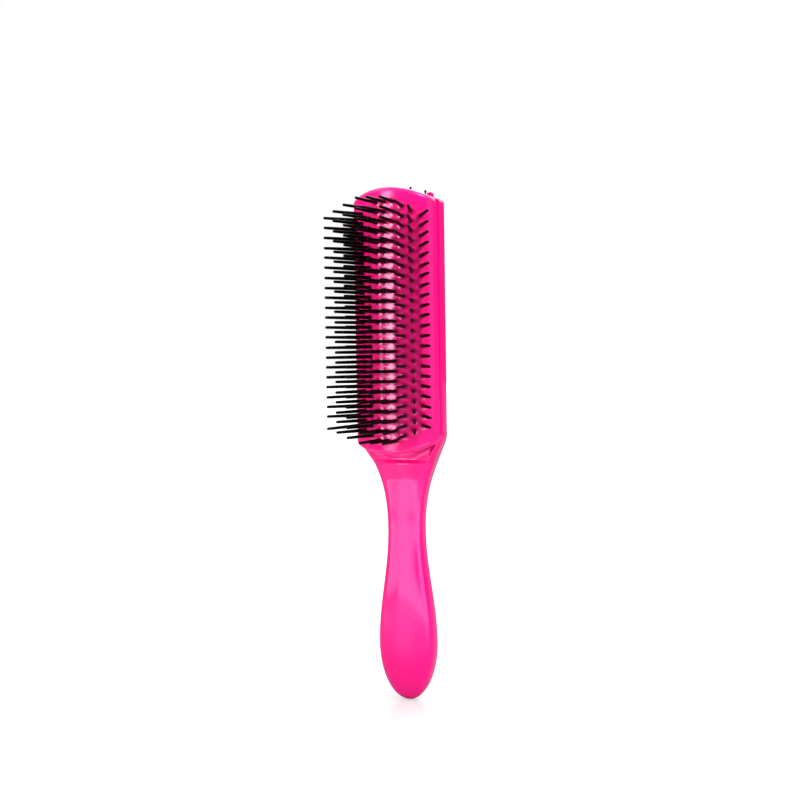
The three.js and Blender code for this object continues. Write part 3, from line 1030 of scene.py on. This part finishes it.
    def front_outline(self) -> list[Corner]:
        """The handle from the front: wide below, arched at the tip, with a lug on each side of the tab.

        Returns:
            Corners in X and Z.
        """
        pad = self.tray.pad
        half = self.tray.head_half_width
        corner_x = half - self.corner_radius
        corner_z = pad.end_arc_z + math.sqrt((pad.end_radius - self.corner_radius) ** 2 - corner_x**2)
        lean = math.atan2(corner_z - pad.end_arc_z, corner_x)
        right = arc((corner_x, corner_z), self.corner_radius, 0, lean, self.corner_steps)
        inner = self.tray.tab_half_width + self.tray.clearance
        outer = inner + self.lug_width
        lug_top = pad.tip_z(inner + self.lug_width / 2) + self.lug_height
        centre = (0.0, pad.end_arc_z)
        right += arc(centre, pad.end_radius, lean, math.acos(outer / pad.end_radius), self.side_steps)[1:]
        turned = self.lug_rounding
        right += arc((outer - turned, lug_top - turned), turned, 0, math.pi / 2, self.lug_steps)
        right += arc((inner + turned, lug_top - turned), turned, math.pi / 2, math.pi, self.lug_steps)
        over = math.acos(inner / pad.end_radius)
        middle = arc(centre, pad.end_radius, over, math.pi - over, self.tip_steps)
        wide = half + self.margin
        low = [(-half, self.head_z), (-wide, self.neck_z), (-wide, -self.margin)]
        return right + middle + mirrored(right) + low + mirrored(low)

    def build(self) -> bpy.types.Object:
        """Models the handle: the bar, cut to the tip's arch and lugs, hollowed, notched and bored.

        Returns:
            The handle, in mm.
        """
        tray = self.tray
        pad = tray.pad
        front_y = -tray.rim_depth - self.margin
        back_y = tray.back_depth + self.margin
        obj = self.bar()
        combine(obj, prism(self.front_outline(), Outline.FRONT, front_y, back_y), Cut.KEEP)
        hollow = tray.section(0, front_y)
        top_z = pad.top_z + self.margin
        combine(obj, prism(hollow, Outline.SECTION, tray.bottom_z, top_z), Cut.REMOVE)
        half_notch = tray.tab_half_width + tray.clearance
        notch_depth = self.margin + tray.tab_thickness + tray.clearance
        notch = pad.tip_strip(half_notch, -self.margin, notch_depth, self.notch_steps)
        combine(obj, prism(notch, Outline.FRONT, front_y, back_y), Cut.REMOVE)
        tray.bore_for_pins(obj)
        smooth(obj, self.smooth_angle)
        return obj

    def dress(self) -> None:
        """Builds the handle and puts it in place of its solid."""
        obj = self.build()
        finish_piece(obj, "handle_shell", self.finish.make(), Body.HANDLE.value, ["handle"])


@dataclass
class RubberPad:
    """The pad: an arched skin that hugs each pin, its feet, the mouth plate and the tab. Sizes are in mm."""

    tray: TrayShape
    finish: MouldedRubber
    crown_steps: int = 54
    bend_steps: int = 8
    side_steps: int = 8
    field_steps: int = 300
    edge_radius: float = 1.7
    edge_share: float = 0.45
    edge_steps: int = 9
    wall_steps: int = 3
    weld: float = 1e-3
    seat_radius: float = 0.8
    seat_reach: float = 2.2
    seat_height: float = 0.14
    crown_samples: int = 400
    foot_wall: float = 1.7
    foot_overlap: float = 0.2
    foot_bevel: float = 0.15
    bevel_steps: int = 2
    tab_inset: float = 0.5
    flush_gap: float = 0.03
    margin: float = 1.0
    strip_steps: int = 40
    smooth_angle: float = 40.0

    def seat_and_shade_share(self, x: np.ndarray, z: np.ndarray) -> np.ndarray:
        """How far the skin is drawn up around the nearest pin, which also sets the rubber's painted shade
        there.

        Args:
            x: distances from the middle.
            z: heights.

        Returns:
            Shares from 0, away from the pins, to 1 against a pin.
        """
        pad = self.tray.pad
        rows = np.linspace(-pad.row_count / 2, pad.row_count / 2, self.crown_samples)
        away = np.interp(x, pad.crown(rows)[:, 0], rows)
        share = np.zeros(np.broadcast(x, z).shape)
        for row in range(pad.row_count):
            reach = (pad.pin_count(row) - 1) / 2
            place = (z - pad.field_z) / pad.pin_pitch
            nearest = np.clip(np.rint(place - reach) + reach, -reach, reach)
            along = (place - nearest) * pad.pin_pitch
            across = (away - row + (pad.row_count - 1) / 2) * pad.row_pitch
            share = np.maximum(share, 1 - ease(np.hypot(along, across), self.seat_radius, self.seat_reach))
        return share

    def skin(self) -> bpy.types.Object:
        """Models the arched skin with its rounded end edges and end walls.

        Returns:
            The skin as a shell with thickness.
        """
        pad = self.tray.pad
        right = pad.half_section(self.crown_steps, self.bend_steps, self.side_steps)
        section = np.concatenate([right[:0:-1] * (-1, 1, -1), right])
        x, y, turn = section.T
        half = pad.end_height(x, pad.edge_x, pad.corner_radius) - pad.field_z
        radius = np.minimum(self.edge_radius, self.edge_share * (pad.seat_y - y))
        rows = []
        for share in np.linspace(-1, 1, self.field_steps + 1):
            z = pad.field_z + share * (half - radius)
            lift = self.seat_and_shade_share(x, z) * self.seat_height
            rows.append(np.column_stack([x + lift * np.sin(turn), y - lift * np.cos(turn), z]))
        ends = []
        for step in np.linspace(0, math.pi / 2, self.edge_steps + 1)[1:]:
            ends.append((y + radius * (1 - math.cos(step)), half - radius + radius * math.sin(step)))
        for step in np.linspace(0, 1, self.wall_steps + 1)[1:]:
            ends.append((y + radius + (pad.seat_y - y - radius) * step, half))
        upper = [np.column_stack([x, depth, pad.field_z + reach]) for depth, reach in ends]
        lower = [np.column_stack([x, depth, pad.field_z - reach]) for depth, reach in reversed(ends)]
        obj = wrapped_grid(np.array([*lower, *rows, *upper]))
        close_mesh(obj, self.weld)
        apply_modifier(obj, "SOLIDIFY", {"thickness": pad.skin, "offset": -1, "use_rim": True})
        return obj

    def foot(self, side: int) -> bpy.types.Object:
        """Models one beaded foot that slides in the tray's groove.

        Args:
            side: -1 on the left and 1 on the right.

        Returns:
            The foot.
        """
        tray = self.tray
        gap = tray.clearance
        inner = tray.lip_x - gap - self.foot_wall
        lip = tray.lip_x - gap
        bead = tray.lip_x + tray.groove_depth - gap
        lip_back = -tray.rim_depth + tray.lip_thickness + gap
        back = tray.groove_back_y - gap
        front = tray.pad.seat_y - self.foot_overlap
        wall = [(inner, front), (lip, front), (lip, lip_back)]
        corners = [*wall, (bead, lip_back), (bead, back), (inner, back)]
        corners = [(side * x, y) for x, y in corners]
        top = tray.pad.tip_z(tray.pad.edge_x) - tray.pad.corner_radius
        obj = prism(corners, Outline.SECTION, tray.bottom_z + gap, top)
        bevel_edges(obj, self.foot_bevel, self.bevel_steps)
        return obj

    def mouth(self) -> bpy.types.Object:
        """Models the plate that closes the tray's mouth under the tip.

        Returns:
            The plate.
        """
        tray = self.tray
        pad = tray.pad
        strip = pad.tip_strip(tray.lip_x, self.flush_gap, tray.tab_thickness, self.strip_steps)
        obj = prism(strip, Outline.FRONT, pad.seat_y, tray.back_depth)
        hollow = tray.section(tray.clearance, pad.seat_y - self.margin)
        combine(obj, prism(hollow, Outline.SECTION, pad.field_z, pad.top_z + self.margin), Cut.KEEP)
        return obj

    def tab(self) -> bpy.types.Object:
        """Models the tab that laps over the tip.

        Returns:
            The tab.
        """
        tray = self.tray
        pad = tray.pad
        strip = pad.tip_strip(tray.tab_half_width, self.flush_gap / 2, tray.tab_thickness, self.strip_steps)
        obj = prism(strip, Outline.FRONT, pad.seat_y, tray.back_depth)
        reach = tray.tab_half_width + self.margin
        across = np.linspace(-reach, reach, self.strip_steps + 1)
        back = list(zip(across, tray.back_y(across, self.tab_inset), strict=True))
        front_y = pad.seat_y - self.margin
        corners = [*back, (reach, front_y), (-reach, front_y)]
        combine(obj, prism(corners, Outline.SECTION, pad.field_z, pad.top_z + self.margin), Cut.KEEP)
        tray.bore_for_pins(obj)
        return obj

    def mark_pin_shade(self, obj: bpy.types.Object) -> None:
        """Stores on each vertex how close it lies to a pin, for the painted shade that the rubber gets around
        each pin.

        Args:
            obj: the pad, in mm.
        """
        x, _, z = vertex_places(obj).T
        attribute = obj.data.attributes.new(PIN_SHADE_ATTRIBUTE, "FLOAT", "POINT")
        attribute.data.foreach_set("value", self.seat_and_shade_share(x, z).astype(np.float32))

    def build(self) -> bpy.types.Object:
        """Models the whole pad.

        Returns:
            The pad, in mm.
        """
        obj = join([self.skin(), self.foot(-1), self.foot(1), self.mouth(), self.tab()])
        smooth(obj, self.smooth_angle)
        # The pad's vertices carry the mask for the rubber's painted shade around the pins
        self.mark_pin_shade(obj)
        return obj

    def dress(self) -> None:
        """Builds the pad and puts it in place of its solid."""
        obj = self.build()
        finish_piece(obj, "rubber_pad_skin", self.finish.make(), Body.PAD.value, ["rubber_pad"])


@dataclass
class PinField:
    """Nine moulded strips, each a spine behind the pad with one row of tapered pins. Sizes are in mm."""

    pad: PadShape
    finish: MouldedNylon
    pin_length: float = 16.95
    base_radius: float = 0.9
    tip_radius: float = 0.6
    tip_rounding: float = 0.5
    pin_sides: int = 12
    rounding_steps: int = 3
    spine_width: float = 2.4
    spine_thickness: float = 1.6
    spine_end: float = 2.0
    spine_gap: float = 0.3
    spine_bevel: float = 0.2
    bevel_steps: int = 2
    smooth_angle: float = 50.0
    sway: float = 0.16
    row_leans: tuple[float, ...] = (0.5, -0.2, -1.4, 0.2, -1.6, -2.2, -0.9, -1.8, -0.4)
    row_twists: tuple[float, ...] = (0.0, 0.0, 0.0, 0.0, 0.0, 0.0, 0.0, -2.7, 0.0)
    bent_drop: float = 1.0
    seed: int = 9

    @property
    def spine_depth(self) -> float:
        """How far the middle of a spine lies behind the pad's face."""
        return self.pad.skin + self.spine_gap + self.spine_thickness / 2

    def pin(self) -> bpy.types.Object:
        """Models one pin that points along -Y out of the pad's face at Y = 0.

        Returns:
            The pin.
        """
        length = self.pin_length + self.spine_depth
        obj = add_primitive(
            bpy.ops.mesh.primitive_cone_add,
            vertices=self.pin_sides,
            radius1=self.base_radius,
            radius2=self.tip_radius,
            depth=length,
            location=(0, 0, length / 2 - self.spine_depth),
        )
        with edit_mode(Picked.NONE):
            bpy.ops.mesh.select_mode(type="EDGE")
            mesh = bmesh.from_edit_mesh(obj.data)
            for edge in mesh.edges:
                edge.select = all(abs(v.co.z - self.pin_length) < SAME_PLACE for v in edge.verts)
            bmesh.update_edit_mesh(obj.data)
            bpy.ops.mesh.bevel(offset=self.tip_rounding, segments=self.rounding_steps, affect="EDGES")
        obj.rotation_euler = (math.radians(90), 0, 0)
        apply_place(obj)
        return obj

    def tip_shifts(self, row: int, chance: random.Random) -> list[Corner]:
        """How far each pin's tip stands aside of its straight place.

        Args:
            row: the strip's row, from 0 on the -X side.
            chance: the source of the pins' small sway.

        Returns:
            A shift across the row and one up the row for each pin.
        """
        count = self.pad.pin_count(row)
        shifts = []
        for share in np.linspace(-1, 1, count):
            lean = self.row_leans[row] + self.row_twists[row] * share
            leaning = math.tan(math.radians(lean)) * self.pin_length
            across = chance.uniform(-self.sway, self.sway)
            up = chance.uniform(-self.sway, self.sway)
            # The outer rows sway inwards alone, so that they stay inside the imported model's box.
            if row == 0:
                across = abs(across)
            if row == self.pad.row_count - 1:
                across = -abs(across)
            shifts.append((leaning + across, up))
        # The lowest pin of the first row is bent down.
        if row == 0:
            shifts[0] = (shifts[0][0], -self.bent_drop)
        return shifts

    def strip(self, row: int, chance: random.Random) -> bpy.types.Object:
        """Models one strip, turned to its place on the pad.

        Args:
            row: the strip's row, from 0 on the -X side.
            chance: the source of the pins' small sway.

        Returns:
            The strip.
        """
        pad = self.pad
        count = pad.pin_count(row)
        obj = self.pin()
        offset = {"use_relative_offset": False, "use_constant_offset": True}
        spacing = {"constant_offset_displace": (0, 0, pad.pin_pitch), "count": count}
        apply_modifier(obj, "ARRAY", {**offset, **spacing})
        reach = (count - 1) / 2 * pad.pin_pitch
        shifts = self.tip_shifts(row, chance)
        for vertex in obj.data.vertices:
            across, up = shifts[round(vertex.co.z / pad.pin_pitch)]
            out = max(0.0, -vertex.co.y) / self.pin_length
            vertex.co.x += across * out
            vertex.co.z += up * out * out - reach
        spine = add_primitive(
            bpy.ops.mesh.primitive_cube_add,
            size=1,
            location=(0, self.spine_depth, 0),
            scale=(self.spine_width, self.spine_thickness, 2 * (reach + self.spine_end)),
        )
        bevel_edges(spine, self.spine_bevel, self.bevel_steps)
        join([obj, spine])
        smooth(obj, self.smooth_angle)
        x, y, turn = pad.row_place(row)
        obj.rotation_euler = (0, 0, turn)
        obj.location = (x, y, pad.field_z)
        apply_place(obj)
        return obj

    def dress(self) -> None:
        """Builds the strips and puts them in place of their solids."""
        chance = random.Random(self.seed)
        material = self.finish.make()
        for row in range(self.pad.row_count):
            node = f"pin_strip_{row + 1}"
            obj = self.strip(row, chance)
            finish_piece(obj, f"{node}_moulding", material, Body.PAD.value, [node])


@dataclass
class LockingPins:
    """Three small headed pins through the pad's tab into the tip. Sizes are in mm."""

    tray: TrayShape
    finish: DrawnSteel
    radius: float = 0.35
    head_radius: float = 0.55
    head_height: float = 0.8
    middle_proud: float = 4.0
    side_proud: float = 2.5
    head_rounding: float = 0.25
    rounding_steps: int = 3
    sides: int = 16
    smooth_angle: float = 50.0

    def pin(self, place: int) -> bpy.types.Object:
        """Models one pin: a round shank with a wider head, rounded on top.

        Args:
            place: -1 on the left, 0 in the middle and 1 on the right.

        Returns:
            The pin.
        """
        depth = self.tray.lock_pin_depth
        proud = self.side_proud if place else self.middle_proud
        length = depth + proud - self.head_height
        shank = {"vertices": self.sides, "radius": self.radius, "depth": length}
        obj = add_primitive(bpy.ops.mesh.primitive_cylinder_add, **shank, location=(0, 0, length / 2))
        wider = self.head_radius / self.radius
        with edit_mode(Picked.NONE):
            bpy.ops.mesh.select_mode(type="FACE")
            mesh = bmesh.from_edit_mesh(obj.data)
            for face in mesh.faces:
                face.select = face.normal.z > FACES_UP
            bmesh.update_edit_mesh(obj.data)
            bpy.ops.mesh.extrude_region_move(TRANSFORM_OT_translate={"value": (0, 0, 0)})
            bpy.ops.transform.resize(value=(wider, wider, 1), center_override=(0, 0, length))
            bpy.ops.mesh.extrude_region_move(TRANSFORM_OT_translate={"value": (0, 0, self.head_height)})
            bpy.ops.mesh.bevel(offset=self.head_rounding, segments=self.rounding_steps, affect="EDGES")
        smooth(obj, self.smooth_angle)
        obj.location = Vector(self.tray.lock_pin_place(place)) - Vector((0, 0, depth))
        apply_place(obj)
        return obj

    def dress(self) -> None:
        """Builds the pins and puts them in place of their solids."""
        material = self.finish.make()
        for number, place in enumerate((-1, 0, 1), start=1):
            node = f"locking_pin_{number}"
            obj = self.pin(place)
            finish_piece(obj, f"{node}_wire", material, f"{node}_body", [node])


# Studio


@dataclass(frozen=True)
class Softbox:
    """One area lamp that faces a point on the brush's axis. Lengths are in metres, angles in degrees."""

    name: str
    azimuth: float
    distance: float
    height: float
    aim_height: float
    width: float
    tall: float
    watts: float
    spread: float = 180.0

    def build(self) -> None:
        """Adds the lamp. Azimuth 0 is straight in front and grows towards +X."""
        data = bpy.data.lights.new(self.name, "AREA")
        data.shape = "RECTANGLE"
        data.size = self.width
        data.size_y = self.tall
        data.energy = self.watts
        data.spread = math.radians(self.spread)
        lamp = bpy.data.objects.new(self.name, data)
        bpy.context.scene.collection.objects.link(lamp)
        turn = math.radians(self.azimuth)
        lamp.location = (self.distance * math.sin(turn), -self.distance * math.cos(turn), self.height)
        aim = Vector((0, 0, self.aim_height)) - lamp.location
        lamp.rotation_euler = aim.to_track_quat("-Z", "Y").to_euler()


@dataclass
class Studio:
    """White floor, soft lamps, pale surroundings and the camera. Lengths are in metres."""

    lamps: list[Softbox] = field(
        default_factory=lambda: [
            # Name, azimuth, distance, height, height aimed at, width, tallness and watts
            Softbox("front_left_box", -19, 0.5, 0.215, 0.215, 0.14, 0.2, 0.082, spread=40),
            Softbox("front_left_low_box", -19, 0.5, 0.0925, 0.0925, 0.14, 0.045, 0.17),
            Softbox("low_left_panel", -46, 0.35, 0.023, 0.023, 0.27, 0.022, 0.08),
            Softbox("low_front_panel", 5.5, 0.35, 0.017, 0.017, 0.41, 0.034, 0.2),
            Softbox("low_right_panel", 58, 0.35, 0.034, 0.034, 0.28, 0.068, 0.24),
            Softbox("side_right_box", 107, 0.7, 0.24, 0.24, 0.3, 0.3, 0.14),
            Softbox("top_left_box", -40, 0.6, 0.75, 0.15, 0.5, 0.5, 1.6),
            Softbox("top_right_box", 66, 0.6, 0.75, 0.15, 0.3, 0.3, 4.8),
            Softbox("top_back_box", 180, 0.6, 0.75, 0.15, 0.5, 0.5, 3.0),
        ]
    )
    horizon_light: float = 0.06
    sky_light: float = 1.0
    horizon_rise: float = 0.18
    sky_rise: float = 0.28
    floor_size: float = 12.0
    floor_grey: str = "#9a9a9c"
    floor_roughness: float = 0.28
    near_glow: float = 0.49
    far_glow: float = 1.0
    near_reach: float = 0.0
    far_reach: float = 0.1
    table_light: float = 0.65
    table_back: float = -0.02
    table_front: float = -0.1
    table_full: float = 0.4
    table_gone: float = 0.6
    camera_place: tuple[float, float, float] = (0.19405, -0.45680, 0.15544)
    pan: float = 23.290
    tilt: float = -2.391
    roll: float = -0.863
    focal_pixels: float = 1101.4
    image_pixels: int = 800
    centre_drop_pixels: float = 3.5
    sensor: float = 36.0
    clip_start: float = 0.01

    def floor(self) -> None:
        """Adds the floor that the brush stands on.

        The camera sees it white, and less bright close to the brush, where the shadow and the reflection
        show. Glossy surfaces see it glow in front of the brush alone, as a lit table top.
        """
        obj = add_primitive(bpy.ops.mesh.primitive_plane_add, size=self.floor_size)
        obj.name = "floor"
        material, tree, shader, place = new_material("white_acrylic_floor")
        away = add_node(tree, "ShaderNodeVectorMath", {"operation": "LENGTH"}, {"Vector": place})
        reach = {"From Min": self.near_reach, "From Max": self.far_reach, "interpolation_type": "SMOOTHSTEP"}
        levels = {**reach, "To Min": self.near_glow, "To Max": self.far_glow}
        level = add_node(tree, "ShaderNodeMapRange", levels, {"Value": away.outputs["Value"]})
        ahead = add_node(tree, "ShaderNodeSeparateXYZ", {}, {"Vector": place}).outputs["Y"]
        edge = {"From Min": self.table_front, "From Max": self.table_back}
        fade = {**edge, "To Min": self.table_light, "To Max": 0.0}
        before = add_node(tree, "ShaderNodeMapRange", fade, {"Value": ahead})
        edge = {"From Min": self.table_full, "From Max": self.table_gone}
        fade = {**edge, "To Min": 1.0, "To Max": 0.0}
        close = add_node(tree, "ShaderNodeMapRange", fade, {"Value": away.outputs["Value"]})
        path = add_node(tree, "ShaderNodeLightPath", {}, {})
        product = {"operation": "MULTIPLY"}
        lit = {0: before.outputs["Result"], 1: close.outputs["Result"]}
        table = add_node(tree, "ShaderNodeMath", product, lit)
        mirrored_table = {0: table.outputs["Value"], 1: path.outputs["Is Glossy Ray"]}
        seen = add_node(tree, "ShaderNodeMath", product, mirrored_table)
        sights = {0: seen.outputs["Value"], 1: path.outputs["Is Camera Ray"]}
        shown = add_node(tree, "ShaderNodeMath", {"operation": "MAXIMUM"}, sights)
        strength = {0: level.outputs["Result"], 1: shown.outputs["Value"]}
        glow = add_node(tree, "ShaderNodeMath", product, strength)
        surface = {"Base Color": srgb(self.floor_grey), "Roughness": self.floor_roughness}
        surface["Emission Color"] = srgb(WHITE)
        wire(tree, shader, surface, {"Emission Strength": glow.outputs["Value"]})
        obj.data.materials.append(material)

    def world(self) -> None:
        """Sets surroundings that are bright overhead, dim around the horizon and white to the camera."""
        world = bpy.data.worlds.new("studio")
        bpy.context.scene.world = world
        world.use_nodes = True
        tree = world.node_tree
        way = add_node(tree, "ShaderNodeTexCoord", {}, {}).outputs["Generated"]
        rise = add_node(tree, "ShaderNodeSeparateXYZ", {}, {"Vector": way}).outputs["Z"]
        bands = {"From Min": self.horizon_rise, "From Max": self.sky_rise, "interpolation_type": "SMOOTHSTEP"}
        levels = {**bands, "To Min": self.horizon_light, "To Max": self.sky_light}
        sky = add_node(tree, "ShaderNodeMapRange", levels, {"Value": rise})
        path = add_node(tree, "ShaderNodeLightPath", {}, {})
        sights = {0: sky.outputs["Result"], 1: path.outputs["Is Camera Ray"]}
        level = add_node(tree, "ShaderNodeMath", {"operation": "MAXIMUM"}, sights)
        wire(tree, tree.nodes["Background"], {"Color": srgb(WHITE)}, {"Strength": level.outputs["Value"]})

    def camera(self) -> None:
        """Adds the camera at the photograph's place."""
        data = bpy.data.cameras.new("camera")
        data.sensor_width = self.sensor
        data.lens = self.focal_pixels / self.image_pixels * self.sensor
        data.shift_y = self.centre_drop_pixels / self.image_pixels
        data.clip_start = self.clip_start
        obj = bpy.data.objects.new("camera", data)
        bpy.context.scene.collection.objects.link(obj)
        turn = (
            Matrix.Rotation(math.radians(self.pan), 4, "Z")
            @ Matrix.Rotation(math.radians(90 + self.tilt), 4, "X")
            @ Matrix.Rotation(math.radians(self.roll), 4, "Z")
        )
        obj.matrix_world = Matrix.Translation(self.camera_place) @ turn
        bpy.context.scene.camera = obj

    def build(self) -> None:
        """Sets the whole studio up."""
        bpy.context.scene.view_settings.view_transform = "Standard"
        self.floor()
        self.world()
        for lamp in self.lamps:
            lamp.build()
        self.camera()


def main() -> None:
    """Builds the brush and its studio."""
    logging.basicConfig(level=logging.INFO, format="%(name)s: %(message)s")
    pad = PadShape()
    tray = TrayShape(pad)
    Studio().build()
    HandleMoulding(tray, MouldedAbs()).dress()
    RubberPad(tray, MouldedRubber()).dress()
    PinField(pad, MouldedNylon()).dress()
    LockingPins(tray, DrawnSteel()).dress()


if __name__ == "__main__":
    main()
